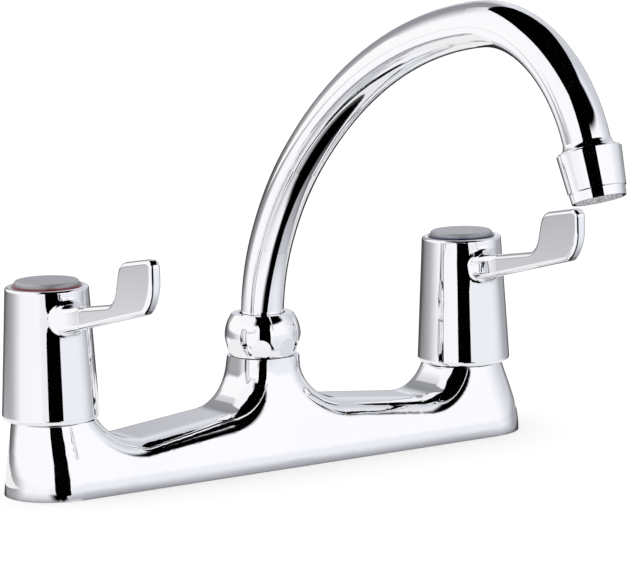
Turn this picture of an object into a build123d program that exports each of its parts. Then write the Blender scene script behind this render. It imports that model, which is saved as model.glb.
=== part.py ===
"""Two handle deck sink mixer with a swivel swan-neck spout.

Millimetres. X runs along the body (hot valve at -X, cold valve at +X), -Y is the
user's side, Z is up. The origin is the middle of the base, on the deck.
"""

from build123d import *
from math import cos, pi, sin
import os

# ---------------------------------------------------------------- driving sizes
valve_spacing = 180.0            # between the two valve axes
running_clearance = 0.05       # radial, turning parts
seat_clearance = 0.05          # radial, fixed parts that slip into each other
seal_squeeze = 0.04            # how far an O-ring stands out of its groove
disc_gap = 0.02                # between the lapped faces of the ceramic discs

# body casting
base_half_width = 18.8
base_forward = 2.6             # the foot stands this much nearer the user than the valves
skirt_height = 10.0
skirt_half_width = 17.7
pillar_radius = 14.2
pillar_height = 26.0
column_radius = 12.4
column_height = 39.0
throat_reach = 0.8             # corner of the arm's outline beside the column
throat_drop = 16.7             # from the top of the column
throat_radius = 14.0
knee_reach = 15.0              # where the arm starts to rise to the pillar
knee_drop = 8.7                # from the top of the pillar
shoulder_radius = 10.0         # rounding along the arms, pillars and column
base_wall = 3.0
waterway_rise = 3.3            # from the valve seat
waterway_radius = 3.2

# valve socket in each pillar
collar_radius = 13.4
collar_height = 2.5
valve_thread_radius = 10.0
valve_thread_depth = 12.5
chamber_radius = 9.0
seat_depth = 19.5              # below the top of the collar
seat_web = 1.6                 # between the seat and the end of the tail
seat_bore_radius = 5.5

# cartridge
gasket_thickness = 0.8
hex_across_flats = 24.0
hex_height = 6.0
neck_radius = 8.4
hub_gap = 0.9                  # between the spindle's clip and the hub of the handle
nose_radius = 8.4
nose_wall = 0.9
disc_thickness = 2.5
seat_seal_thickness = 1.5
port_distance = 4.2
port_length = 4.2              # between the centres of its round ends
port_width = 2.6
window_width = 8.0
window_height = 3.6
foot_height = 3.5
stem_radius = 4.6
seal_section = 0.55            # radius of the O-ring cord
seal_drop = 6.0                # seal groove below the top of the neck
clip_thickness = 0.8
clip_radius = 6.5
clip_groove_depth = 0.8
clip_mouth = 7.0
spline_radius = 4.0
spline_depth = 0.45
spline_teeth = 20
spline_length = 12.0

# lever handle
handle_gap = 0.35              # above the pillar
handle_height = 47.65
handle_bottom_radius = 17.45
handle_top_radius = 14.9
handle_wall = 2.0
handle_edge = 1.2
handle_lip = 1.8
hub_radius = 8.6
bush_radius = 6.0
bush_length = 11.5
web_thickness = 2.5
screw_radius = 2.2
screw_length = 12.0
screw_head_radius = 4.2
screw_head_height = 2.8
screw_socket_radius = 1.6
screw_socket_depth = 1.6
screw_pocket_radius = 6.0
screw_pocket_depth = 4.6
recess_radius = 12.6
recess_depth = 1.6
ring_radius = 12.5
ring_width = 0.8
ring_stand = 0.45              # above the top of the handle
cap_stand = 2.0
cap_chamfer = 0.6
cap_spigot = 1.5

# blade lever, as (reach to the user, height above the top of the handle)
blade_thickness = 4.6
blade_edge = 1.7
blade_root_top = (20.0, -5.4)
blade_root_bottom = (20.0, -13.8)
arm_bend = (49.3, -0.7)
paddle_back = (53.6, 14.3)
paddle_tip = (75.2, 18.1)
paddle_front = (75.2, 10.0)
paddle_belly = (73.9, 4.2)
paddle_heel = (71.0, -0.4)
arm_end = (69.4, -1.9)
arm_bend_radius = 8.0
paddle_back_radius = 6.0
paddle_tip_radius = 3.0
arm_end_radius = 2.0
neck_root_width = 16.0
neck_root_height = 10.6
neck_root_drop = 10.9          # below the top of the handle
neck_root_reach = 12.5
neck_corner = 4.6
neck_waist_width = 8.0
neck_waist_height = 9.0
neck_waist_drop = 9.6
neck_waist_reach = 19.0
neck_waist_corner = 2.6
neck_tip_reach = 25.0
neck_tip_height = 8.3
neck_tip_drop = 8.6
neck_fillet = 3.0

# spout
spout_radius = 7.85
spout_wall = 0.95
spout_straight = 10.0          # above the top of the column
# radius and angle of each bend, from the foot of the spout
spout_bends = ((75.0, 25.0), (121.7, 18.7), (185.0, 39.2), (53.8, 78.6))
spout_end_straight = 0.8
spout_bore_radius = 7.6
column_bore_bottom = 9.0
ferrule_lift = 0.7             # above the waterway
ferrule_bore_radius = 5.6
ferrule_flange_radius = 9.6
ferrule_flange_height = 2.0
ferrule_spigot = 2.8
spout_seal_section = 0.65
spout_seal_rises = (5.0, 11.0)    # above the foot of the ferrule
column_thread_radius = 10.6
column_thread_height = 5.0

# ball-shaped spout nut
nut_height = 15.6
nut_ball_radius = 13.95
nut_ball_level = 7.2           # centre of the ball above the foot of the nut
nut_foot_edge = 1.2
nut_top_edge = 2.6
nut_top_hole_clearance = 0.55
nut_flat_count = 8
nut_flat_distance = 12.05      # from the axis, at the foot
nut_flat_lean = 14.5
nut_flat_turn = 32.0
nut_cavity_radius = 10.0
slip_ring_height = 3.0
slip_ring_split = 1.0

# nozzle and aerator, measured along the flow from the nozzle's shoulder
nozzle_radius = 10.75
nozzle_end_radius = 9.3
nozzle_length = 16.6
nozzle_flare = 2.4
nozzle_flare_middle = (0.6, 0.84)   # out from the lip, back from the shoulder
nozzle_lip = 0.15
nozzle_shoulder_edge = 0.6
nozzle_band = 3.4              # plain band at the outlet
nozzle_step = 0.35
nozzle_socket = 3.0
aerator_radius = 8.2
aerator_length = 9.0
aerator_wall = 0.9
aerator_floor = 2.0
aerator_cell_radius = 0.95      # across the corners of a six-sided cell
aerator_ring_radii = (2.2, 4.2, 6.2)
aerator_ring_counts = (6, 12, 18)
aerator_washer_thickness = 1.5

# deck side
gasket_depth = 2.5
tail_radius = 10.4775          # half-inch pipe thread
tail_bore_radius = 6.5
tail_below_deck = 55.0
tail_chamfer = 1.0
tail_relief_drop = 1.5          # from the backnut to the groove above the free thread
tail_relief_width = 2.0
tail_relief_depth = 0.5
clamped_deck = 12.0            # deck thickness between base and washers
rubber_washer_radius = 21.0
rubber_washer_thickness = 3.0
steel_washer_radius = 20.0
steel_washer_thickness = 1.5
backnut_across_flats = 30.0
backnut_height = 8.0
backnut_flange_radius = 17.5
backnut_flange_height = 2.0

# ------------------------------------------------------------- derived levels
valve_half_spacing = valve_spacing / 2
valve_axes = (-valve_half_spacing, valve_half_spacing)
valve_points = tuple((x, 0) for x in valve_axes)
pillar_inner = valve_half_spacing - pillar_radius
body_end = valve_half_spacing + 2 * base_half_width
column_top = column_height + column_thread_height
throat_height = column_height - throat_drop
knee_height = pillar_height - knee_drop
collar_top = pillar_height + collar_height
hex_bottom = collar_top + gasket_thickness
hex_top = hex_bottom + hex_height
thread_bottom = collar_top - valve_thread_depth
seat_height = collar_top - seat_depth
tail_top = seat_height - seat_web
waterway_height = seat_height + waterway_rise
seal_top = seat_height + seat_seal_thickness
fixed_disc_top = seal_top + disc_thickness
moving_disc_bottom = fixed_disc_top + disc_gap
moving_disc_top = moving_disc_bottom + disc_thickness
nose_bore_radius = nose_radius - nose_wall
foot_top = moving_disc_top + foot_height
handle_bottom = pillar_height + handle_gap
handle_top = handle_bottom + handle_height
recess_floor = handle_top - recess_depth
pocket_floor = recess_floor - screw_pocket_depth
web_bottom = pocket_floor - web_thickness
spline_bottom = web_bottom - spline_length
hub_bottom = web_bottom - bush_length
clip_bottom = hub_bottom - hub_gap - clip_thickness
neck_top = clip_bottom - 2 * running_clearance
ceiling = recess_floor - handle_wall
handle_taper = (handle_bottom_radius - handle_top_radius) / handle_height
ceiling_radius = handle_top_radius - handle_wall + handle_taper * (handle_top - ceiling)
ferrule_radius = spout_bore_radius - running_clearance
ferrule_bottom = waterway_height + waterway_radius + ferrule_lift
spout_seal_levels = tuple(ferrule_bottom + rise for rise in spout_seal_rises)
ferrule_flange_bottom = column_top + running_clearance
ferrule_flange_top = ferrule_flange_bottom + ferrule_flange_height
slip_ring_bottom = ferrule_flange_top + running_clearance
rubber_bottom = -clamped_deck - rubber_washer_thickness
steel_bottom = rubber_bottom - steel_washer_thickness
backnut_bottom = steel_bottom - backnut_height
relief_top = backnut_bottom - tail_relief_drop

os.makedirs("parts", exist_ok=True)


# ------------------------------------------------------------------- helpers
def upright(axis_x, reach=0.0, height=0.0):
    """Plane that faces the user: local x runs along the body, local y is the height."""
    return Plane(origin=(axis_x, -reach, height), x_dir=(1, 0, 0), z_dir=(0, -1, 0))


def side_view(axis_x, height=0.0):
    """Plane of a lever or the spout: local x is the reach to the user, y the height."""
    return Plane(origin=(axis_x, 0, height), x_dir=(0, -1, 0), z_dir=(-1, 0, 0))


def level(axis_x, height):
    """Horizontal plane at a height on a vertical axis."""
    return Plane(origin=(axis_x, 0, height))


def turn(axis_x):
    """Vertical axis of a valve."""
    return Axis((axis_x, 0, 0), (0, 0, 1))


def ring_outline(inner, outer, low, high, mode=Mode.ADD):
    """Half section of a plain ring."""
    with Locations((inner, low)):
        Rectangle(outer - inner, high - low, align=Align.MIN, mode=mode)


def spline_outline(radius, mode=Mode.ADD):
    """Toothed outline shared by the valve spindle and its bush."""
    points = []
    for step in range(2 * spline_teeth):
        angle = pi * step / spline_teeth
        reach = radius - spline_depth * (step % 2)
        points.append((reach * cos(angle), reach * sin(angle)))
    Polygon(*points, align=None, mode=mode)


def disc_outline(radius, turned):
    """Ceramic disc with its two opposite ports."""
    Circle(radius)
    with PolarLocations(port_distance, 2, start_angle=turned):
        SlotCenterToCenter(port_length, port_width, rotation=90, mode=Mode.SUBTRACT)


def outer_rims(piece):
    """The largest circles of a turned piece."""
    return piece.edges().filter_by(GeomType.CIRCLE).group_by(SortBy.RADIUS)[-1]


def save(piece, name):
    """Label a finished piece and write its file."""
    piece.part.label = name
    export_step(piece.part, f"parts/{name}.step")


# ---------------------------------------------------------------- body casting
with BuildPart() as faucet_body:
    stations = (
        (0.0, base_half_width, base_forward),
        (skirt_height, skirt_half_width, base_forward),
        (pillar_height, pillar_radius, 0.0),
        (column_height, column_radius, 0.0),
    )
    for height, half_width, forward in stations:
        with BuildSketch(Plane.XY.offset(height)):
            with Locations((0, -forward)):
                SlotCenterToCenter(valve_spacing, 2 * half_width)
    loft()
    # front view of one half: foot, pillar and half the column, with the dipping arm between
    with BuildSketch(Plane.XZ):
        with BuildLine():
            arm_floor = FilletPolyline(
                (column_radius, column_height),
                (column_radius + throat_reach, throat_height),
                (pillar_inner - knee_reach, knee_height),
                radius=throat_radius,
            )
            TangentArc(arm_floor @ 1, (pillar_inner, pillar_height), tangent=arm_floor % 1)
            Polyline(
                (pillar_inner, pillar_height),
                (body_end, pillar_height),
                (body_end, 0),
                (0, 0),
                (0, column_height),
                (column_radius, column_height),
            )
        make_face()
    extrude(amount=2 * base_half_width, both=True, mode=Mode.INTERSECT)
    shoulders = faucet_body.edges().filter_by(
        lambda edge: column_radius <= edge.center().X < pillar_inner
        and abs(edge.center().Y) > column_radius / 2
        and edge.center().Z > skirt_height / 2
    )
    fillet(shoulders, shoulder_radius)
    mirror(about=Plane.YZ)
    # threaded neck for the spout nut
    with BuildSketch(Plane.XY.offset(column_height)):
        Circle(column_thread_radius)
    extrude(amount=column_thread_height)
    # turned collar that each valve clamps on
    with BuildSketch(Plane.XY.offset(pillar_height)):
        with Locations(*valve_points):
            Circle(collar_radius)
    extrude(amount=collar_height)
    # valve sockets, seats and inlet threads
    with Locations(*(level(x, collar_top) for x in valve_axes)):
        Hole(valve_thread_radius + seat_clearance, depth=valve_thread_depth)
        Hole(chamber_radius, depth=collar_top - seat_height)
        Hole(seat_bore_radius, depth=collar_top)
    with BuildSketch(Plane.XY):
        with Locations(*valve_points):
            Circle(tail_radius + seat_clearance)
    extrude(amount=tail_top, mode=Mode.SUBTRACT)
    # spout socket and the waterway that joins the three chambers
    with Locations((0, 0, column_top)):
        Hole(spout_bore_radius, depth=column_top - column_bore_bottom)
    with BuildSketch(Plane.YZ.offset(-valve_half_spacing)):
        with Locations((0, waterway_height)):
            Circle(waterway_radius)
    extrude(amount=valve_spacing, mode=Mode.SUBTRACT)
    # recess for the deck gasket
    with BuildSketch(Plane.XY):
        with Locations((0, -base_forward)):
            SlotCenterToCenter(valve_spacing, 2 * (base_half_width - base_wall))
    extrude(amount=gasket_depth, mode=Mode.SUBTRACT)
save(faucet_body, "faucet_body")

with BuildPart() as deck_gasket:
    with BuildSketch(Plane.XY):
        with Locations((0, -base_forward)):
            gasket_half_width = base_half_width - base_wall - seat_clearance
            SlotCenterToCenter(valve_spacing, 2 * gasket_half_width)
        with Locations(*valve_points):
            Circle(tail_radius + seat_clearance, mode=Mode.SUBTRACT)
    extrude(amount=gasket_depth)
save(deck_gasket, "deck_gasket")


# -------------------------------------------------------------- under the deck
def make_inlet(side, axis_x):
    """Threaded tail with the washers and backnut that clamp the deck."""
    tail_hole_radius = tail_radius + seat_clearance
    with BuildPart() as inlet_tail:
        with BuildSketch(upright(axis_x)):
            ring_outline(tail_bore_radius, tail_radius, -tail_below_deck, tail_top)
            ring_outline(
                tail_radius - tail_relief_depth, tail_radius,
                relief_top - tail_relief_width, relief_top, Mode.SUBTRACT,
            )
        revolve(axis=turn(axis_x))
        rims = outer_rims(inlet_tail).sort_by(Axis.Z)
        chamfer((rims[0], rims[-1]), tail_chamfer)
    save(inlet_tail, f"inlet_tail_{side}")

    with BuildPart() as rubber_washer:
        with BuildSketch(upright(axis_x)):
            ring_outline(tail_hole_radius, rubber_washer_radius, rubber_bottom, -clamped_deck)
        revolve(axis=turn(axis_x))
    save(rubber_washer, f"rubber_washer_{side}")

    with BuildPart() as steel_washer:
        with BuildSketch(upright(axis_x)):
            ring_outline(tail_hole_radius, steel_washer_radius, steel_bottom, rubber_bottom)
        revolve(axis=turn(axis_x))
    save(steel_washer, f"steel_washer_{side}")

    with BuildPart() as backnut:
        with BuildSketch(level(axis_x, backnut_bottom)):
            RegularPolygon(backnut_across_flats / 2, 6, major_radius=False)
        extrude(amount=backnut_height)
        with BuildSketch(level(axis_x, steel_bottom - backnut_flange_height)):
            Circle(backnut_flange_radius)
        extrude(amount=backnut_flange_height)
        with Locations(level(axis_x, steel_bottom)):
            Hole(tail_hole_radius, depth=backnut_height)
    save(backnut, f"backnut_{side}")


# ------------------------------------------------------------- valve cartridge
def make_valve_fixed(side, axis_x):
    """The pieces of the quarter-turn valve that stay still in the pillar."""
    axis = turn(axis_x)
    stem_bore_radius = stem_radius + running_clearance
    shoulder = foot_top + running_clearance
    with BuildPart() as cartridge_body:
        with BuildSketch(upright(axis_x)):
            ring_outline(nose_bore_radius, nose_radius, seal_top, thread_bottom)
            ring_outline(nose_bore_radius, valve_thread_radius, thread_bottom, shoulder)
            ring_outline(stem_bore_radius, valve_thread_radius, shoulder, hex_bottom)
            ring_outline(stem_bore_radius, neck_radius, hex_bottom, neck_top)
        revolve(axis=axis)
        with BuildSketch(level(axis_x, hex_bottom)):
            RegularPolygon(hex_across_flats / 2, 6, major_radius=False)
            Circle(stem_bore_radius, mode=Mode.SUBTRACT)
        extrude(amount=hex_height)
        window_level = thread_bottom - window_height / 2
        with BuildSketch(Plane(origin=(axis_x, 0, window_level), x_dir=(0, 1, 0), z_dir=(1, 0, 0))):
            Rectangle(window_width, window_height)
        extrude(amount=nose_radius, both=True, mode=Mode.SUBTRACT)
    save(cartridge_body, f"cartridge_body_{side}")

    with BuildPart() as cartridge_gasket:
        with BuildSketch(upright(axis_x)):
            ring_outline(
                valve_thread_radius + seat_clearance, collar_radius, collar_top, hex_bottom
            )
        revolve(axis=axis)
    save(cartridge_gasket, f"cartridge_gasket_{side}")

    with BuildPart() as seat_seal:
        with BuildSketch(upright(axis_x)):
            ring_outline(seat_bore_radius, nose_bore_radius, seat_height, seal_top)
        revolve(axis=axis)
    save(seat_seal, f"seat_seal_{side}")

    with BuildPart() as fixed_disc:
        with BuildSketch(level(axis_x, seal_top)):
            disc_outline(nose_bore_radius - seat_clearance, 0)
        extrude(amount=disc_thickness)
    save(fixed_disc, f"fixed_disc_{side}")


def make_valve_turning(side, axis_x):
    """The pieces of the valve that turn with the lever."""
    axis = turn(axis_x)
    groove_level = neck_top - seal_drop
    groove_half = seal_section + seat_clearance
    with BuildPart() as moving_disc:
        with BuildSketch(level(axis_x, moving_disc_bottom)):
            disc_outline(nose_bore_radius - running_clearance, 90)
        extrude(amount=disc_thickness)
    save(moving_disc, f"moving_disc_{side}")

    with BuildPart() as valve_spindle:
        with BuildSketch(upright(axis_x)):
            ring_outline(0, nose_bore_radius - running_clearance, moving_disc_top, foot_top)
            ring_outline(0, stem_radius, foot_top, spline_bottom)
            ring_outline(
                stem_radius - 2 * seal_section, stem_radius,
                groove_level - groove_half, groove_level + groove_half, Mode.SUBTRACT,
            )
            ring_outline(
                stem_radius - clip_groove_depth, stem_radius,
                clip_bottom, clip_bottom + clip_thickness, Mode.SUBTRACT,
            )
        revolve(axis=axis)
        with BuildSketch(level(axis_x, spline_bottom)):
            spline_outline(spline_radius)
        extrude(amount=spline_length)
        with Locations(level(axis_x, web_bottom)):
            Hole(screw_radius + seat_clearance, depth=screw_length - web_thickness)
    save(valve_spindle, f"valve_spindle_{side}")

    with BuildPart() as spindle_seal:
        with BuildSketch(upright(axis_x)):
            with Locations((stem_radius + seal_squeeze - seal_section, groove_level)):
                Circle(seal_section)
        revolve(axis=axis)
    save(spindle_seal, f"spindle_seal_{side}")

    with BuildPart() as spindle_clip:
        with BuildSketch(level(axis_x, clip_bottom)):
            Circle(clip_radius)
            Circle(stem_radius - clip_groove_depth + seat_clearance, mode=Mode.SUBTRACT)
            Rectangle(
                clip_mouth, clip_radius, align=(Align.CENTER, Align.MIN), mode=Mode.SUBTRACT
            )
        extrude(amount=clip_thickness)
    save(spindle_clip, f"spindle_clip_{side}")


# ---------------------------------------------------------------- lever handle
def make_handle(side, axis_x):
    """Tapered shroud cast in one with its blade lever, and what is fixed in it."""
    axis = turn(axis_x)
    with BuildPart() as lever_handle:
        with BuildSketch(side_view(axis_x, handle_top)):
            with BuildLine():
                FilletPolyline(
                    blade_root_top, arm_bend, paddle_back, paddle_tip, paddle_front,
                    radius=(arm_bend_radius, paddle_back_radius, paddle_tip_radius),
                )
                ThreePointArc(paddle_front, paddle_belly, paddle_heel)
                FilletPolyline(
                    paddle_heel, arm_end, blade_root_bottom, radius=arm_end_radius
                )
                Line(blade_root_bottom, blade_root_top)
            make_face()
        extrude(amount=blade_thickness / 2, both=True)
        fillet(lever_handle.faces().filter_by(Axis.X).edges(), blade_edge)
        # the neck flares from the blade into the shroud
        with BuildSketch(upright(axis_x, neck_root_reach, handle_top - neck_root_drop)):
            RectangleRounded(neck_root_width, neck_root_height, neck_corner)
        with BuildSketch(upright(axis_x, neck_waist_reach, handle_top - neck_waist_drop)):
            RectangleRounded(neck_waist_width, neck_waist_height, neck_waist_corner)
        with BuildSketch(upright(axis_x, neck_tip_reach, handle_top - neck_tip_drop)):
            RectangleRounded(blade_thickness, neck_tip_height, blade_edge)
        loft()
        with BuildSketch(upright(axis_x)):
            with BuildLine():
                Polyline(
                    (0, handle_bottom),
                    (handle_bottom_radius, handle_bottom),
                    (handle_top_radius, handle_top),
                    (0, handle_top),
                    close=True,
                )
            make_face()
        revolve(axis=axis)
        shroud_side = lever_handle.faces().filter_by(GeomType.CONE).sort_by(SortBy.AREA)[-1]
        fillet(shroud_side.inner_wires().edges(), neck_fillet)
        fillet(lever_handle.edges().group_by(Axis.Z)[0], handle_lip)
        top_face = lever_handle.faces().filter_by(Axis.Z).sort_by(Axis.Z)[-1]
        fillet(top_face.edges(), handle_edge)
        with BuildSketch(upright(axis_x)):
            with BuildLine():
                Polyline(
                    (0, handle_bottom),
                    (handle_bottom_radius - handle_wall, handle_bottom),
                    (ceiling_radius, ceiling),
                    (hub_radius, ceiling),
                    (hub_radius, hub_bottom),
                    (0, hub_bottom),
                    close=True,
                )
            make_face()
            ring_outline(0, bush_radius + seat_clearance, hub_bottom, web_bottom)
            ring_outline(0, screw_radius + 2 * seat_clearance, web_bottom, pocket_floor)
            ring_outline(0, screw_pocket_radius, pocket_floor, recess_floor)
            ring_outline(0, recess_radius, recess_floor, handle_top)
        revolve(axis=axis, mode=Mode.SUBTRACT)
    save(lever_handle, f"lever_handle_{side}")

    with BuildPart() as spline_bush:
        with BuildSketch(level(axis_x, hub_bottom)):
            Circle(bush_radius)
            spline_outline(spline_radius + seat_clearance, Mode.SUBTRACT)
        extrude(amount=bush_length)
    save(spline_bush, f"spline_bush_{side}")

    with BuildPart() as handle_screw:
        with BuildSketch(upright(axis_x)):
            ring_outline(0, screw_radius, pocket_floor - screw_length, pocket_floor)
            ring_outline(0, screw_head_radius, pocket_floor, pocket_floor + screw_head_height)
        revolve(axis=axis)
        with BuildSketch(level(axis_x, pocket_floor + screw_head_height)):
            RegularPolygon(screw_socket_radius, 6)
        extrude(amount=-screw_socket_depth, mode=Mode.SUBTRACT)
    save(handle_screw, f"handle_screw_{side}")

    with BuildPart() as index_ring:
        with BuildSketch(upright(axis_x)):
            ring_outline(
                ring_radius - ring_width, ring_radius, recess_floor, handle_top + ring_stand
            )
        revolve(axis=axis)
    save(index_ring, f"index_ring_{side}")

    cap_radius = ring_radius - ring_width - seat_clearance
    with BuildPart() as index_cap:
        with BuildSketch(upright(axis_x)):
            ring_outline(0, cap_radius, recess_floor, handle_top + cap_stand)
            ring_outline(
                0, screw_pocket_radius - seat_clearance, recess_floor - cap_spigot, recess_floor
            )
        revolve(axis=axis)
        chamfer(index_cap.edges().group_by(Axis.Z)[-1], cap_chamfer)
    save(index_cap, f"index_cap_{side}")


for side, axis_x in zip(("hot", "cold"), valve_axes):
    make_inlet(side, axis_x)
    make_valve_fixed(side, axis_x)
    make_valve_turning(side, axis_x)
    make_handle(side, axis_x)

# ----------------------------------------------------------------------- spout
with BuildLine(side_view(0)) as spout_path:
    stretch = Line((0, ferrule_flange_top), (0, column_height + spout_straight))
    for bend_radius, bend_angle in spout_bends:
        stretch = JernArc(stretch @ 1, stretch % 1, bend_radius, -bend_angle)
    Line(stretch @ 1, stretch @ 1 + (stretch % 1) * (spout_end_straight + nozzle_socket))
spout_start = spout_path.line @ 0
spout_end = spout_path.line @ 1
flow = spout_path.line % 1
nozzle_shoulder = spout_end - flow * nozzle_socket

with BuildPart() as spout_tube:
    with BuildSketch(level(0, ferrule_flange_top)):
        Circle(spout_radius)
        Circle(spout_radius - spout_wall, mode=Mode.SUBTRACT)
    sweep(path=spout_path.line)
save(spout_tube, "spout_tube")

seal_groove_radius = ferrule_radius + seal_squeeze - 2 * spout_seal_section
with BuildPart() as spout_ferrule:
    with BuildSketch(upright(0)):
        ring_outline(ferrule_bore_radius, ferrule_radius, ferrule_bottom, ferrule_flange_bottom)
        ring_outline(
            ferrule_bore_radius, ferrule_flange_radius, ferrule_flange_bottom, ferrule_flange_top
        )
        ring_outline(
            ferrule_bore_radius, spout_radius - spout_wall - seat_clearance,
            ferrule_flange_top, ferrule_flange_top + ferrule_spigot,
        )
        for seal_level in spout_seal_levels:
            groove_half = spout_seal_section + seat_clearance
            ring_outline(
                seal_groove_radius, ferrule_radius,
                seal_level - groove_half, seal_level + groove_half, Mode.SUBTRACT,
            )
    revolve(axis=Axis.Z)
save(spout_ferrule, "spout_ferrule")

with BuildPart() as spout_seals:
    with BuildSketch(upright(0)):
        for seal_level in spout_seal_levels:
            with Locations((seal_groove_radius + spout_seal_section, seal_level)):
                Circle(spout_seal_section)
    revolve(axis=Axis.Z)
save(spout_seals, "spout_seals")

# nut: a ball cut off at the foot and top, with leaning flats round its lower half
ball_centre = column_height + nut_ball_level
nut_top = column_height + nut_height
nut_hole_radius = spout_radius + nut_top_hole_clearance
cavity_bottom = ferrule_flange_bottom
cavity_top = slip_ring_bottom + slip_ring_height + running_clearance
with BuildPart() as spout_nut:
    with BuildSketch(upright(0)) as nut_section:
        with Locations((0, ball_centre)):
            Circle(nut_ball_radius)
        ring_outline(0, nut_ball_radius, column_height, nut_top, Mode.INTERSECT)
        levels = nut_section.vertices().group_by(Axis.Y)
        fillet(levels[0].sort_by(Axis.X)[-1], nut_foot_edge)
        fillet(levels[-1].sort_by(Axis.X)[-1], nut_top_edge)
    revolve(axis=Axis.Z)
    with BuildSketch(Plane.XY.offset(column_height)):
        RegularPolygon(
            nut_flat_distance, nut_flat_count, major_radius=False, rotation=nut_flat_turn
        )
    extrude(amount=nut_height, taper=-nut_flat_lean, mode=Mode.INTERSECT)
    with BuildSketch(upright(0)):
        ring_outline(0, column_thread_radius + seat_clearance, column_height, cavity_bottom)
        ring_outline(0, nut_cavity_radius, cavity_bottom, cavity_top)
        ring_outline(0, nut_hole_radius, cavity_top, nut_top)
    revolve(axis=Axis.Z, mode=Mode.SUBTRACT)
save(spout_nut, "spout_nut")

with BuildPart() as spout_slip_ring:
    with BuildSketch(level(0, slip_ring_bottom)):
        Circle(nut_cavity_radius - seat_clearance)
        Circle(spout_radius + running_clearance, mode=Mode.SUBTRACT)
        Rectangle(
            slip_ring_split, nut_cavity_radius, align=(Align.CENTER, Align.MIN),
            mode=Mode.SUBTRACT,
        )
    extrude(amount=slip_ring_height)
save(spout_slip_ring, "spout_slip_ring")

# --------------------------------------------------------- nozzle and aerator
# local x is the radius and local y runs along the flow, from the nozzle's shoulder
nozzle_section = Plane(
    origin=nozzle_shoulder, x_dir=(1, 0, 0), z_dir=Vector(1, 0, 0).cross(flow)
)
nozzle_axis = Axis(nozzle_shoulder, flow)
nozzle_bore_radius = spout_radius + seat_clearance
aerator_bore_radius = aerator_radius + seat_clearance
washer_end = nozzle_socket + aerator_washer_thickness
band_start = nozzle_length - nozzle_band
flare_out, flare_back = nozzle_flare_middle
with BuildPart() as nozzle_housing:
    with BuildSketch(nozzle_section):
        with BuildLine():
            shoulder_start = (nozzle_radius - nozzle_shoulder_edge, 0)
            shoulder_end = (nozzle_radius, nozzle_shoulder_edge)
            ThreePointArc(
                (nozzle_bore_radius + nozzle_lip, -nozzle_flare),
                (nozzle_bore_radius + nozzle_lip + flare_out, -flare_back),
                shoulder_start,
            )
            RadiusArc(shoulder_start, shoulder_end, nozzle_shoulder_edge)
            Polyline(
                shoulder_end,
                (nozzle_end_radius + nozzle_step, band_start),
                (nozzle_end_radius, band_start + nozzle_step),
                (nozzle_end_radius - nozzle_step, nozzle_length),
                (aerator_bore_radius, nozzle_length),
                (aerator_bore_radius, nozzle_socket),
                (nozzle_bore_radius, nozzle_socket),
                (nozzle_bore_radius, -nozzle_flare),
                (nozzle_bore_radius + nozzle_lip, -nozzle_flare),
            )
        make_face()
    revolve(axis=nozzle_axis)
save(nozzle_housing, "nozzle_housing")

with BuildPart() as aerator_washer:
    with BuildSketch(nozzle_section):
        ring_outline(spout_radius - spout_wall, aerator_radius, nozzle_socket, washer_end)
    revolve(axis=nozzle_axis)
save(aerator_washer, "aerator_washer")

with BuildPart() as aerator_insert:
    with BuildSketch(nozzle_section):
        ring_outline(
            aerator_radius - aerator_wall, aerator_radius, washer_end, washer_end + aerator_length
        )
        ring_outline(
            0, aerator_radius, washer_end + aerator_length - aerator_floor,
            washer_end + aerator_length,
        )
    revolve(axis=nozzle_axis)
    outlet_origin = nozzle_shoulder + flow * (washer_end + aerator_length)
    with BuildSketch(Plane(origin=outlet_origin, x_dir=(1, 0, 0), z_dir=flow)):
        RegularPolygon(aerator_cell_radius, 6)
        for ring_radius, cell_count in zip(aerator_ring_radii, aerator_ring_counts):
            with PolarLocations(ring_radius, cell_count):
                RegularPolygon(aerator_cell_radius, 6)
    extrude(amount=-aerator_floor, mode=Mode.SUBTRACT)
save(aerator_insert, "aerator_insert")
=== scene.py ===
"""Looks of the two handle sink mixer: finishes, cut threads, stage and camera."""

from math import cos, radians, sin, tau

import bmesh
import bpy
from bpy.props import (
    FloatProperty,
    FloatVectorProperty,
    PointerProperty,
)
from mathutils import Matrix, Vector


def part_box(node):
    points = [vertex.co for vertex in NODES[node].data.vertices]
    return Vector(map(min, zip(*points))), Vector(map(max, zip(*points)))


bl_info = {
    "name": "Sink Mixer Dresser",
    "version": (1, 0, 0),
    "blender": (4, 5, 0),
    "location": "3D View > Sidebar > Mixer",
    "description": "Gives the two handle sink mixer its finishes, threads and stage",
    "category": "Object",
}

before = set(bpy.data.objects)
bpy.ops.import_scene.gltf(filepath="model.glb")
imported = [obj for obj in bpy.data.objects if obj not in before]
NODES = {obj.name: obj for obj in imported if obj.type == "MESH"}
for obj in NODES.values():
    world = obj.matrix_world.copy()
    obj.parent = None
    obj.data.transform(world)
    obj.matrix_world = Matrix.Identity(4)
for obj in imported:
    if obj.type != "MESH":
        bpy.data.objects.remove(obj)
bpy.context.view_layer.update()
SIDES = ("hot", "cold")
MM = 0.001
FULL_TURN = 360.0
BLACK = (0.0, 0.0, 0.0)
WHITE = (1.0, 1.0, 1.0)


# ------------------------------------------------------------------ settings
def shade(name, description, default):
    """A colour that the user can change."""
    return FloatVectorProperty(
        name=name, description=description, default=default,
        subtype="COLOR", size=3, min=0.0, max=1.0,
    )


def length(name, description, default):
    """A size that the user can change."""
    return FloatProperty(
        name=name, description=description, default=default,
        subtype="DISTANCE", unit="LENGTH", min=0.0,
    )


def amount(name, description, default, high=1.0):
    """A plain number that the user can change."""
    return FloatProperty(
        name=name, description=description, default=default, min=0.0, max=high,
        subtype="FACTOR",
    )


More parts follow.
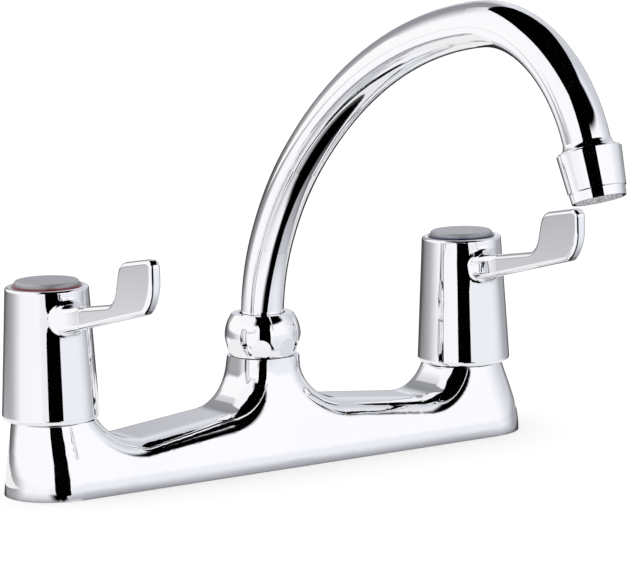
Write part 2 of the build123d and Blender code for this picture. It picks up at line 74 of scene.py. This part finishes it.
class MixerFinishes(bpy.types.PropertyGroup):
    """Colours and polish of the mixer's finishes."""

    chrome: shade("Chrome", "Colour of the chrome plate", (0.975, 0.98, 0.985))
    chrome_roughness: amount("Chrome haze", "Blur of the plate's reflections", 0.035)
    cap: shade("Index cap", "Colour of the satin cap", (0.45, 0.455, 0.48))
    hot: shade("Hot ring", "Colour of the hot index ring", (0.20, 0.018, 0.02))
    cold: shade("Cold ring", "Colour of the cold index ring", (0.012, 0.02, 0.07))
    brass: shade("Brass", "Colour of bare machined brass", (0.80, 0.60, 0.30))
    steel: shade("Steel", "Colour of the stainless pieces", (0.62, 0.62, 0.63))
    rubber: shade("Rubber", "Colour of washers and seals", (0.022, 0.022, 0.024))
    ceramic: shade("Ceramic", "Colour of the valve discs", (0.86, 0.84, 0.79))
    nylon: shade("Nylon", "Colour of the natural nylon pieces", (0.80, 0.78, 0.70))
    strainer: shade("Strainer", "Colour of the moulded aerator", (0.90, 0.91, 0.93))


class MixerThreads(bpy.types.PropertyGroup):
    """Thread on the inlet tails."""

    pitch: length("Pitch", "Pitch of the half-inch pipe thread", 1.814 * MM)
    depth: length("Depth", "Depth of the half-inch pipe thread", 1.16 * MM)
    root: length("Root", "Radius inside which the brass is plain", 9.0 * MM)


class MixerStage(bpy.types.PropertyGroup):
    """Camera, floor and key lamp."""

    camera_place: FloatVectorProperty(
        name="Camera", description="Where the camera stands",
        default=(-0.7885, -1.2342, 0.2940), subtype="XYZ", unit="LENGTH", size=3,
    )
    azimuth: FloatProperty(
        name="Azimuth", description="Turn of the view about the vertical",
        default=radians(33.41), subtype="ANGLE", unit="ROTATION",
    )
    elevation: FloatProperty(
        name="Elevation", description="How far the camera looks down",
        default=radians(8.98), subtype="ANGLE", unit="ROTATION",
    )
    roll: FloatProperty(
        name="Roll", description="Turn of the picture",
        default=radians(-1.38), subtype="ANGLE", unit="ROTATION",
    )
    lens: FloatProperty(
        name="Lens", description="Focal length on a 36 mm wide sensor",
        default=228.1, subtype="DISTANCE_CAMERA", unit="CAMERA",
    )
    floor_size: length("Floor size", "Side of the floor", 12.0)
    paper: amount("Paper", "Gray level of the floor's paper", 0.80)
    paper_glow: amount("Paper glow", "Light added to the floor for the eye", 0.24)
    # painted shadow: reach of the black glow painted on the mirrored floor round the body's
    # foot
    painted_shade_reach: length("Foot reach", "How far round the body the floor darkens", 0.05)
    key_place: FloatVectorProperty(
        name="Key lamp", description="Where the soft lamp hangs",
        default=(-0.9, -0.7, 1.5), subtype="XYZ", unit="LENGTH", size=3,
    )
    key_size: length("Key size", "Side of the soft lamp", 1.2)
    key_power: FloatProperty(
        name="Key power", description="Power of the soft lamp",
        default=3.0, min=0.0, subtype="POWER", unit="POWER",
    )


# --------------------------------------------------------------- node helpers
def math_node(tree, operation, first, second=None):
    """A sum or product of two values; a plain number is set on its socket."""
    node = tree.nodes.new("ShaderNodeMath")
    node.operation = operation
    for socket, value in zip(node.inputs, (first, second)):
        if value is None:
            continue
        if isinstance(value, (int, float)):
            socket.default_value = value
        else:
            tree.links.new(value, socket)
    return node.outputs["Value"]


def product(tree, *values):
    """All values multiplied."""
    result = values[0]
    for value in values[1:]:
        result = math_node(tree, "MULTIPLY", result, value)
    return result


def largest(tree, *values):
    """The largest of the values."""
    result = values[0]
    for value in values[1:]:
        result = math_node(tree, "MAXIMUM", result, value)
    return result


def smooth(tree, value, low, high, first=0.0, second=1.0):
    """Soft step of a value between two limits."""
    step = tree.nodes.new("ShaderNodeMapRange")
    step.interpolation_type = "SMOOTHSTEP"
    limits = {"From Min": low, "From Max": high, "To Min": first, "To Max": second}
    for name, number in limits.items():
        step.inputs[name].default_value = number
    tree.links.new(value, step.inputs["Value"])
    return step.outputs["Result"]


def blend(tree, factor, first, second, mode="MIX"):
    """Mix of two colours; a plain number or colour is set on its socket."""
    node = tree.nodes.new("ShaderNodeMix")
    node.data_type = "RGBA"
    node.blend_type = mode
    for name, kind, value in (
        ("Factor", "VALUE", factor), ("A", "RGBA", first), ("B", "RGBA", second),
    ):
        socket = next(
            item for item in node.inputs if item.name == name and item.type == kind
        )
        if isinstance(value, (int, float)):
            socket.default_value = value
        elif isinstance(value, tuple):
            socket.default_value = (*value, 1.0)
        else:
            tree.links.new(value, socket)
    return next(item for item in node.outputs if item.type == "RGBA")


def profile(tree, value, low, high, stops):
    """Gray level that follows a value between its limits, from stop to stop."""
    share = tree.nodes.new("ShaderNodeMapRange")
    share.inputs["From Min"].default_value = low
    share.inputs["From Max"].default_value = high
    tree.links.new(value, share.inputs["Value"])
    node = tree.nodes.new("ShaderNodeValToRGB")
    elements = node.color_ramp.elements
    while len(elements) < len(stops):
        elements.new(0.5)
    for element, (place, gray) in zip(elements, stops):
        element.position = (place - low) / (high - low)
        element.color = (gray, gray, gray, 1.0)
    tree.links.new(share.outputs["Result"], node.inputs["Fac"])
    return node.outputs["Color"]


def bearings(tree, value, low, high, stops):
    """Bearing in degrees that follows a value between its limits, from stop to stop."""
    shares = [(place, degrees / FULL_TURN + 0.5) for place, degrees in stops]
    turns = profile(tree, value, low, high, shares)
    return product(tree, math_node(tree, "SUBTRACT", turns, 0.5), FULL_TURN)


def within(tree, value, low, high, blur):
    """1 between two limits and 0 outside them, with soft ends."""
    rise = smooth(tree, math_node(tree, "SUBTRACT", value, low), -blur, blur)
    fall = smooth(tree, math_node(tree, "SUBTRACT", value, high), -blur, blur, 1.0, 0.0)
    return product(tree, rise, fall)


def emission(tree, color):
    """Plain glow of one colour."""
    glow = tree.nodes.new("ShaderNodeEmission")
    glow.inputs["Color"].default_value = (*color, 1.0)
    return glow


def choose(tree, factor, first, second):
    """Blend of two shaders."""
    mix = tree.nodes.new("ShaderNodeMixShader")
    tree.links.new(factor, mix.inputs["Fac"])
    tree.links.new(first, mix.inputs[1])
    tree.links.new(second, mix.inputs[2])
    return mix.outputs["Shader"]


# ------------------------------------------------------------------ materials
def node_tree(name):
    """A new material with its shader, ready for procedural nodes."""
    material = bpy.data.materials.new(name)
    material.use_nodes = True
    tree = material.node_tree
    shader = tree.nodes["Principled BSDF"]
    place = tree.nodes.new("ShaderNodeTexCoord")
    return material, tree, shader, place.outputs["Object"]


def noise(tree, place, scale, detail=3.0, roughness=0.5, stretch=None):
    """Noise on object coordinates; stretch scales it along each axis."""
    texture = tree.nodes.new("ShaderNodeTexNoise")
    texture.inputs["Scale"].default_value = scale
    texture.inputs["Detail"].default_value = detail
    texture.inputs["Roughness"].default_value = roughness
    if stretch:
        mapping = tree.nodes.new("ShaderNodeMapping")
        mapping.inputs["Scale"].default_value = stretch
        tree.links.new(place, mapping.inputs["Vector"])
        place = mapping.outputs["Vector"]
    tree.links.new(place, texture.inputs["Vector"])
    return texture.outputs["Fac"]


def spread(tree, factor, low, high):
    """Turn a 0 to 1 pattern into a range of values."""
    ramp = tree.nodes.new("ShaderNodeMapRange")
    ramp.inputs["From Min"].default_value = 0.3
    ramp.inputs["From Max"].default_value = 0.7
    ramp.inputs["To Min"].default_value = low
    ramp.inputs["To Max"].default_value = high
    tree.links.new(factor, ramp.inputs["Value"])
    return ramp.outputs["Result"]


def tones(tree, factor, first, second):
    """Two colours blended by a pattern."""
    mix = tree.nodes.new("ShaderNodeMix")
    mix.data_type = "RGBA"
    mix.inputs["A"].default_value = (*first, 1.0)
    mix.inputs["B"].default_value = (*second, 1.0)
    tree.links.new(factor, mix.inputs["Factor"])
    return mix.outputs["Result"]


def relief(tree, shader, height, strength, depth):
    """Surface relief of a real depth in metres."""
    bump = tree.nodes.new("ShaderNodeBump")
    bump.inputs["Strength"].default_value = strength
    bump.inputs["Distance"].default_value = depth
    tree.links.new(height, bump.inputs["Height"])
    tree.links.new(bump.outputs["Normal"], shader.inputs["Normal"])


def darker(color, share):
    """The same colour, darker."""
    return tuple(share * value for value in color)


def chrome_plate(finish):
    """Polished chrome with a faint wave of hand buffing and slight haze."""
    material, tree, shader, place = node_tree("chrome_plate")
    shader.inputs["Metallic"].default_value = 1.0
    haze = noise(tree, place, 90.0, 4.0)
    blur = finish.chrome_roughness
    tree.links.new(spread(tree, haze, 0.5 * blur, 1.5 * blur), shader.inputs["Roughness"])
    bloom = noise(tree, place, 35.0, 2.0)
    plate = tones(
        tree, spread(tree, bloom, 0.0, 1.0), finish.chrome, darker(finish.chrome, 0.985)
    )
    tree.links.new(plate, shader.inputs["Base Color"])
    wave = noise(tree, place, 60.0, 1.0)
    relief(tree, shader, wave, 0.25, 0.04 * MM)
    return material


def satin_cap(finish):
    """Satin metal with fine circular lay and small colour changes."""
    material, tree, shader, place = node_tree("satin_cap")
    shader.inputs["Metallic"].default_value = 0.55
    shader.inputs["Specular IOR Level"].default_value = 0.4
    grain = noise(tree, place, 900.0, 2.0)
    tree.links.new(spread(tree, grain, 0.34, 0.46), shader.inputs["Roughness"])
    cloud = noise(tree, place, 120.0, 3.0)
    tree.links.new(
        tones(tree, spread(tree, cloud, 0.0, 1.0), finish.cap, darker(finish.cap, 0.93)),
        shader.inputs["Base Color"],
    )
    relief(tree, shader, grain, 0.2, 0.02 * MM)
    return material


def moulded(name, color, roughness, texture_scale=500.0, coat=0.0):
    """Moulded plastic or rubber with a fine skin."""
    material, tree, shader, place = node_tree(name)
    grain = noise(tree, place, texture_scale, 4.0)
    tree.links.new(
        spread(tree, grain, 0.8 * roughness, min(1.0, 1.2 * roughness)),
        shader.inputs["Roughness"],
    )
    cloud = noise(tree, place, 80.0, 3.0)
    tree.links.new(
        tones(tree, spread(tree, cloud, 0.0, 1.0), color, darker(color, 0.85)),
        shader.inputs["Base Color"],
    )
    shader.inputs["Coat Weight"].default_value = coat
    relief(tree, shader, grain, 0.3, 0.03 * MM)
    return material


def turned_metal(name, color, roughness):
    """Machined metal with fine tool marks round the vertical axis."""
    material, tree, shader, place = node_tree(name)
    shader.inputs["Metallic"].default_value = 1.0
    marks = noise(tree, place, 60.0, 3.0, stretch=(1.0, 1.0, 60.0))
    tree.links.new(
        spread(tree, marks, 0.7 * roughness, 1.3 * roughness), shader.inputs["Roughness"]
    )
    tarnish = noise(tree, place, 45.0, 4.0)
    tree.links.new(
        tones(tree, spread(tree, tarnish, 0.0, 1.0), color, darker(color, 0.8)),
        shader.inputs["Base Color"],
    )
    relief(tree, shader, marks, 0.25, 0.02 * MM)
    return material


def threaded_brass(side, finish, thread):
    """Bare brass with a helical thread round a tail, and plain metal inside its bore."""
    material, tree, shader, place = node_tree(f"threaded_brass_{side}")
    shader.inputs["Metallic"].default_value = 1.0
    shader.inputs["Roughness"].default_value = 0.3
    tarnish = spread(tree, noise(tree, place, 45.0, 4.0), 0.0, 1.0)
    tree.links.new(
        tones(tree, tarnish, tuple(finish.brass), darker(finish.brass, 0.8)),
        shader.inputs["Base Color"],
    )
    # the tail's own axis
    low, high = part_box(f"inlet_tail_{side}")
    centred = tree.nodes.new("ShaderNodeMapping")
    centred.inputs["Location"].default_value = (
        -(low[0] + high[0]) / 2, -(low[1] + high[1]) / 2, 0.0,
    )
    tree.links.new(place, centred.inputs["Vector"])
    axes = tree.nodes.new("ShaderNodeSeparateXYZ")
    tree.links.new(centred.outputs["Vector"], axes.inputs["Vector"])
    across, along, up = (axes.outputs[name] for name in "XYZ")
    # one ridge per pitch, climbing as it goes round
    turn = math_node(tree, "DIVIDE", math_node(tree, "ARCTAN2", along, across), tau)
    rise = math_node(tree, "DIVIDE", up, thread.pitch)
    ridge = math_node(tree, "PINGPONG", math_node(tree, "ADD", rise, turn), 0.5)
    # only on the outside, below the deck
    reach = math_node(tree, "SQRT", math_node(
        tree, "ADD", product(tree, across, across), product(tree, along, along)))
    outside = math_node(tree, "GREATER_THAN", reach, thread.root)
    below_deck = math_node(tree, "LESS_THAN", up, 0.0)
    relief(tree, shader, product(tree, outside, below_deck, ridge), 1.0, 2.0 * thread.depth)
    return material


def dress(node, material):
    """Give a carried-over CAD node its finish."""
    mesh = NODES[node].data
    mesh.materials.clear()
    mesh.materials.append(material)


# ------------------------------------------------------------------ operators
class MIXER_OT_chrome(bpy.types.Operator):
    """Plate the body, levers, spout, nut and nozzle"""

    bl_idname = "mixer.chrome"
    bl_label = "Chrome plate"

    def execute(self, context):
        plate = chrome_plate(context.scene.mixer_finishes)
        for node in (
            "faucet_body", "spout_nut", "spout_tube", "nozzle_housing",
            "lever_handle_hot", "lever_handle_cold",
        ):
            dress(node, plate)
        return {"FINISHED"}


class MIXER_OT_index(bpy.types.Operator):
    """Finish the index caps and their hot and cold rings"""

    bl_idname = "mixer.index"
    bl_label = "Index caps and rings"

    def execute(self, context):
        finish = context.scene.mixer_finishes
        cap = satin_cap(finish)
        rings = {"hot": finish.hot, "cold": finish.cold}
        for side in SIDES:
            dress(f"index_cap_{side}", cap)
            ring = moulded(f"index_ring_{side}", tuple(rings[side]), 0.25, coat=0.4)
            dress(f"index_ring_{side}", ring)
        return {"FINISHED"}


class MIXER_OT_valves(bpy.types.Operator):
    """Finish the cartridges and everything that is fixed in the handles"""

    bl_idname = "mixer.valves"
    bl_label = "Valves"

    def execute(self, context):
        finish = context.scene.mixer_finishes
        thread = context.scene.mixer_threads
        brass = turned_metal("turned_brass", tuple(finish.brass), 0.28)
        steel = turned_metal("stainless_steel", tuple(finish.steel), 0.3)
        rubber = moulded("black_rubber", tuple(finish.rubber), 0.62, 900.0)
        ceramic = moulded("ground_ceramic", tuple(finish.ceramic), 0.22, 1200.0)
        nylon = moulded("natural_nylon", tuple(finish.nylon), 0.45)
        for side in SIDES:
            for node in ("cartridge_body", "valve_spindle"):
                dress(f"{node}_{side}", brass)
            for node in ("spindle_clip", "handle_screw", "steel_washer"):
                dress(f"{node}_{side}", steel)
            for node in ("cartridge_gasket", "seat_seal", "spindle_seal", "rubber_washer"):
                dress(f"{node}_{side}", rubber)
            for node in ("fixed_disc", "moving_disc"):
                dress(f"{node}_{side}", ceramic)
            dress(f"spline_bush_{side}", nylon)
            dress(f"backnut_{side}", brass)
            dress(f"inlet_tail_{side}", threaded_brass(side, finish, thread))
        for node in ("deck_gasket", "spout_seals", "aerator_washer"):
            dress(node, rubber)
        dress("spout_slip_ring", nylon)
        dress("spout_ferrule", brass)
        dress("aerator_insert", moulded("moulded_strainer", tuple(finish.strainer), 0.35))
        return {"FINISHED"}


# ---------------------------------------------------------------------- stage
# Gray levels of the white tent that the plate mirrors, as (bearing, level). The bearing is
# in degrees: 0 is the user's side, 90 the right end, 180 and -180 the back.
TENT_ABOVE = (
    (-180, 0.33), (-172, 0.48), (-156, 0.98), (40, 1.0), (90, 0.62),
    (125, 0.64), (145, 0.80), (158, 0.28), (180, 0.33),
)
TENT_LEVEL = (
    (-180, 0.10), (-163, 0.26), (-134, 0.46), (-104, 0.94), (-52, 0.97), (-46, 0.88),
    (50, 0.88), (64, 0.78), (90, 0.40), (114, 0.36), (128, 0.10), (150, 0.02), (180, 0.10),
)
TENT_BELOW = (
    (-180, 0.28), (-172, 0.90), (-165, 0.98), (-40, 0.98), (10, 0.80), (40, 0.88),
    (70, 0.74), (98, 0.50), (121, 0.03), (162, 0.02), (180, 0.28),
)
# The two sides of the dark gap where the camera looks in, as (height, bearing) in degrees.
GAP_BOTTOM, GAP_TOP = -80, 0
GAP_LEFT = ((-80, -108), (-74, -45), (-62, -26), (-43, -22), (-20, -33), (0, -43))
GAP_RIGHT = ((-80, 115), (-74, 72), (-62, 28), (-43, 12), (-20, -6), (-10, -10), (0, -14))

CEILING_GRAY = (0.95, 0.95, 0.95)
LEFT_TINT = (1.0, 0.985, 1.03)
RIGHT_TINT = (0.975, 0.99, 1.06)
NEAR_PAPER = (0.85, 0.85, 0.87)

# Cards that only the plate sees, as corners in metres.
GAP_FLAG = (
    (-0.350, -0.440, -0.11), (-0.096, -0.630, -0.11), (-0.096, -0.630, 0.30),
    (-0.03, -0.68, 0.60), (-0.03, -0.68, 1.1), (-0.47, -0.36, 1.1),
    (-0.47, -0.36, 0.60), (-0.381, -0.418, 0.30), (-0.381, -0.418, 0.0),
)
ARCH_FLAG_HEIGHT = 0.40
ARCH_FLAG = (
    (-0.30, -0.36), (0.0, -0.41), (0.14, -0.30), (0.22, -0.05),
    (0.14, 0.06), (-0.05, 0.11), (-0.19, -0.02), (-0.24, -0.15),
)
BACK_PAPER_HEIGHT = 0.5 * MM
BACK_PAPER = ((-0.17, 0.024), (0.17, 0.024), (0.17, 0.14), (-0.17, 0.14))
WALL_DISTANCE = 0.25
WALL_PAPER = ((-0.50, 0.09), (-0.08, 0.09), (-0.08, 0.25), (-0.50, 0.25))


def card(name, corners, material):
    """A flat stage piece through its corners."""
    bm = bmesh.new()
    bm.faces.new([bm.verts.new(corner) for corner in corners])
    mesh = bpy.data.meshes.new(name)
    bm.to_mesh(mesh)
    bm.free()
    mesh.materials.append(material)
    made = bpy.data.objects.new(name, mesh)
    bpy.context.scene.collection.objects.link(made)
    return made


def card_material(name, gray):
    """Unlit card, from black to white."""
    material = bpy.data.materials.new(name)
    material.use_nodes = True
    tree = material.node_tree
    tree.nodes.clear()
    glow = emission(tree, (gray, gray, gray))
    output = tree.nodes.new("ShaderNodeOutputMaterial")
    tree.links.new(glow.outputs["Emission"], output.inputs["Surface"])
    return material


def mirror_only(made):
    """Let a card show in mirror reflections alone."""
    made.visible_camera = False
    made.visible_diffuse = False
    made.visible_transmission = False
    made.visible_volume_scatter = False
    made.visible_shadow = False


def mirrored_cards():
    """Black flags and white papers that stand where the tent alone isn't enough."""
    black = card_material("black_flag", 0.0)
    # upright gap in the tent, where the camera looks in
    mirror_only(card("gap_flag", GAP_FLAG, black))
    # small flag over the arch of the spout
    arch = [(x, y, ARCH_FLAG_HEIGHT) for x, y in ARCH_FLAG]
    mirror_only(card("arch_flag", arch, black))
    # paper lying close behind the body
    back = [(x, y, BACK_PAPER_HEIGHT) for x, y in BACK_PAPER]
    mirror_only(card("back_paper", back, card_material("white_paper", 0.88)))
    # paper on the wall behind on the left, above the levers
    wall = [(x, WALL_DISTANCE, z) for x, z in WALL_PAPER]
    mirror_only(card("wall_paper", wall, card_material("bright_paper", 0.98)))


def tent_levels(tree, bearing, height):
    """The tent's gray levels: white on the left and in front, gray on the right and behind."""
    above, beside, below = (
        profile(tree, bearing, -180, 180, stops)
        for stops in (TENT_ABOVE, TENT_LEVEL, TENT_BELOW)
    )
    lower_half = blend(tree, smooth(tree, height, -12.0, -6.5), below, beside)
    tent = blend(tree, smooth(tree, height, -1.0, 6.0), lower_half, above)
    # the far gray ends below the ceiling
    ceiling = product(
        tree, smooth(tree, height, 20.0, 50.0), within(tree, bearing, -181.0, -60.0, 4.0)
    )
    return blend(tree, ceiling, tent, CEILING_GRAY)


def camera_gap(tree, bearing, height):
    """The dark gap where the camera looks in; its sides wander to the left with the height."""
    left = bearings(tree, height, GAP_BOTTOM, GAP_TOP, GAP_LEFT)
    right = bearings(tree, height, GAP_BOTTOM, GAP_TOP, GAP_RIGHT)
    past_left = smooth(tree, math_node(tree, "SUBTRACT", bearing, left), -14.0, 4.0)
    before_right = smooth(
        tree, math_node(tree, "SUBTRACT", bearing, right), -1.5, 1.5, 1.0, 0.0
    )
    return product(tree, past_left, before_right, smooth(tree, height, -9.0, -5.0, 1.0, 0.0))


def mirrored_studio(tree, place):
    """What the plate sees, by bearing from the user's side and by height, in degrees."""
    axes = tree.nodes.new("ShaderNodeSeparateXYZ")
    tree.links.new(place, axes.inputs["Vector"])
    toward_user = product(tree, axes.outputs["Y"], -1.0)
    bearing = math_node(
        tree, "DEGREES", math_node(tree, "ARCTAN2", axes.outputs["X"], toward_user)
    )
    height = math_node(tree, "DEGREES", math_node(tree, "ARCSINE", axes.outputs["Z"]))
    gap = camera_gap(tree, bearing, height)
    # black flag over the front
    flag = product(
        tree, smooth(tree, height, 31.0, 38.0), within(tree, bearing, -62.0, 52.0, 7.0)
    )
    # darker right side of the table, black straight below, gray straight above
    right_table = product(
        tree, smooth(tree, height, -64.0, -26.0, 0.45, 0.0),
        within(tree, bearing, 14.0, 181.0, 6.0),
    )
    nadir = smooth(tree, height, -74.0, -62.0, 1.0, 0.0)
    zenith = smooth(tree, height, 70.0, 80.0, 0.0, 0.5)
    dark = largest(tree, gap, flag, nadir, zenith, right_table)
    # the right side is a little bluer
    below_eye = smooth(tree, height, -1.0, 6.0, 1.0, 0.0)
    far_right = smooth(tree, bearing, 42.0, 62.0)
    cool = product(
        tree, smooth(tree, bearing, -14.0, 0.0), largest(tree, below_eye, far_right)
    )
    tint = blend(tree, cool, LEFT_TINT, RIGHT_TINT)
    lit = blend(tree, 1.0, tent_levels(tree, bearing, height), tint, mode="MULTIPLY")
    return blend(tree, dark, lit, BLACK)


def studio_world():
    """Even white surroundings, with the tent for the plate to mirror."""
    world = bpy.data.worlds.new("white_studio")
    bpy.context.scene.world = world
    world.use_nodes = True
    tree = world.node_tree
    tree.nodes.clear()
    place = tree.nodes.new("ShaderNodeTexCoord").outputs["Generated"]
    plain = tree.nodes.new("ShaderNodeBackground")
    plain.inputs["Color"].default_value = (*WHITE, 1.0)
    mirrored = tree.nodes.new("ShaderNodeBackground")
    tree.links.new(mirrored_studio(tree, place), mirrored.inputs["Color"])
    rays = tree.nodes.new("ShaderNodeLightPath")
    seen = choose(
        tree, rays.outputs["Is Glossy Ray"],
        plain.outputs["Background"], mirrored.outputs["Background"],
    )
    output = tree.nodes.new("ShaderNodeOutputWorld")
    tree.links.new(seen, output.inputs["Surface"])


def paper_to_the_eye(tree, rays, stage):
    """White paper with the object's shadow."""
    paper = tree.nodes.new("ShaderNodeBsdfDiffuse")
    paper.inputs["Color"].default_value = (stage.paper, stage.paper, stage.paper, 1.0)
    glow = emission(tree, WHITE)
    eye = largest(tree, rays.outputs["Is Camera Ray"], rays.outputs["Is Transmission Ray"])
    tree.links.new(product(tree, eye, stage.paper_glow), glow.inputs["Strength"])
    lit = tree.nodes.new("ShaderNodeAddShader")
    tree.links.new(paper.outputs["BSDF"], lit.inputs[0])
    tree.links.new(glow.outputs["Emission"], lit.inputs[1])
    return lit.outputs["Shader"]


def table_in_the_plate(tree, rays, stage):
    """The tent seen through the floor, with a painted shadow as a dark line at the body's foot.
    """
    tent = tree.nodes.new("ShaderNodeBsdfTransparent")
    # painted shadow: where the floor is occluded round the body's foot, mirror rays see black
    # glow in place of the tent
    corner = tree.nodes.new("ShaderNodeAmbientOcclusion")
    corner.inputs["Distance"].default_value = stage.painted_shade_reach
    corner.samples = 8
    foot = smooth(tree, corner.outputs["AO"], 0.50, 1.0, 0.78, 0.0)
    tent_with_painted_shade = choose(tree, foot, tent.outputs["BSDF"], emission(tree, BLACK).outputs["Emission"])
    # seen from above, the body's own sides mirror white paper
    steep = tree.nodes.new("ShaderNodeLayerWeight")
    steep.inputs["Blend"].default_value = 0.5
    near = product(
        tree, smooth(tree, steep.outputs["Facing"], 0.60, 0.72, 1.0, 0.0),
        smooth(tree, rays.outputs["Ray Length"], 60 * MM, 75 * MM, 1.0, 0.0),
    )
    return choose(tree, near, tent_with_painted_shade, emission(tree, NEAR_PAPER).outputs["Emission"])


def floor_material(stage):
    """Plain white floor that takes shadows; the plate looks through it to the tent."""
    material = bpy.data.materials.new("white_floor")
    material.use_nodes = True
    tree = material.node_tree
    tree.nodes.clear()
    rays = tree.nodes.new("ShaderNodeLightPath")
    surface = choose(
        tree, rays.outputs["Is Glossy Ray"],
        paper_to_the_eye(tree, rays, stage), table_in_the_plate(tree, rays, stage),
    )
    output = tree.nodes.new("ShaderNodeOutputMaterial")
    tree.links.new(surface, output.inputs["Surface"])
    return material


def soft_key(stage):
    """Soft lamp that gives the floor its shadow; the plate doesn't mirror it."""
    lamp = bpy.data.lights.new("soft_key", "AREA")
    lamp.shape = "RECTANGLE"
    lamp.size = lamp.size_y = stage.key_size
    lamp.energy = stage.key_power
    key = bpy.data.objects.new("soft_key", lamp)
    key.location = stage.key_place
    middle = Vector((0, 0, 50 * MM))
    key.rotation_euler = (middle - key.location).to_track_quat("-Z", "Y").to_euler()
    key.visible_glossy = False
    bpy.context.scene.collection.objects.link(key)


def photo_camera(stage):
    """Camera at the photograph's viewing angle."""
    camera = bpy.data.cameras.new("camera")
    camera.lens = stage.lens
    camera.sensor_width = 36.0
    camera.clip_start, camera.clip_end = 0.05, 50.0
    eye = bpy.data.objects.new("camera", camera)
    bpy.context.scene.collection.objects.link(eye)
    turn, dip, roll = stage.azimuth, stage.elevation, stage.roll
    away = Vector((sin(turn) * cos(dip), cos(turn) * cos(dip), -sin(dip)))
    level = Vector((cos(turn), -sin(turn), 0.0))
    rise = level.cross(away)
    right = cos(roll) * level + sin(roll) * rise
    up = -sin(roll) * level + cos(roll) * rise
    turned = Matrix((right, up, -away)).transposed().to_4x4()
    eye.matrix_world = Matrix.Translation(stage.camera_place) @ turned
    bpy.context.scene.camera = eye


class MIXER_OT_stage(bpy.types.Operator):
    """Set up the white studio, its cards, the lamp and the camera"""

    bl_idname = "mixer.stage"
    bl_label = "Stage and camera"

    def execute(self, context):
        stage = context.scene.mixer_stage
        half = stage.floor_size / 2
        corners = ((-half, -half, 0), (half, -half, 0), (half, half, 0), (-half, half, 0))
        studio_world()
        card("floor", corners, floor_material(stage))
        mirrored_cards()
        soft_key(stage)
        photo_camera(stage)
        context.scene.view_settings.view_transform = "Standard"
        return {"FINISHED"}


class MIXER_PT_panel(bpy.types.Panel):
    """Steps that dress the mixer"""

    bl_label = "Sink mixer"
    bl_idname = "MIXER_PT_panel"
    bl_space_type = "VIEW_3D"
    bl_region_type = "UI"
    bl_category = "Mixer"

    def draw(self, context):
        column = self.layout.column(align=True)
        for operator in OPERATORS:
            column.operator(operator.bl_idname)
        for settings in ("mixer_finishes", "mixer_threads", "mixer_stage"):
            group = getattr(context.scene, settings)
            box = self.layout.box()
            for name in group.__annotations__:
                box.prop(group, name)


OPERATORS = (MIXER_OT_chrome, MIXER_OT_index, MIXER_OT_valves, MIXER_OT_stage)
CLASSES = (MixerFinishes, MixerThreads, MixerStage, *OPERATORS, MIXER_PT_panel)


def register():
    for item in CLASSES:
        bpy.utils.register_class(item)
    bpy.types.Scene.mixer_finishes = PointerProperty(type=MixerFinishes)
    bpy.types.Scene.mixer_threads = PointerProperty(type=MixerThreads)
    bpy.types.Scene.mixer_stage = PointerProperty(type=MixerStage)


def unregister():
    del bpy.types.Scene.mixer_stage
    del bpy.types.Scene.mixer_threads
    del bpy.types.Scene.mixer_finishes
    for item in reversed(CLASSES):
        bpy.utils.unregister_class(item)


def main():
    register()
    bpy.ops.mixer.chrome()
    bpy.ops.mixer.index()
    bpy.ops.mixer.valves()
    bpy.ops.mixer.stage()


if __name__ == "__main__":
    main()
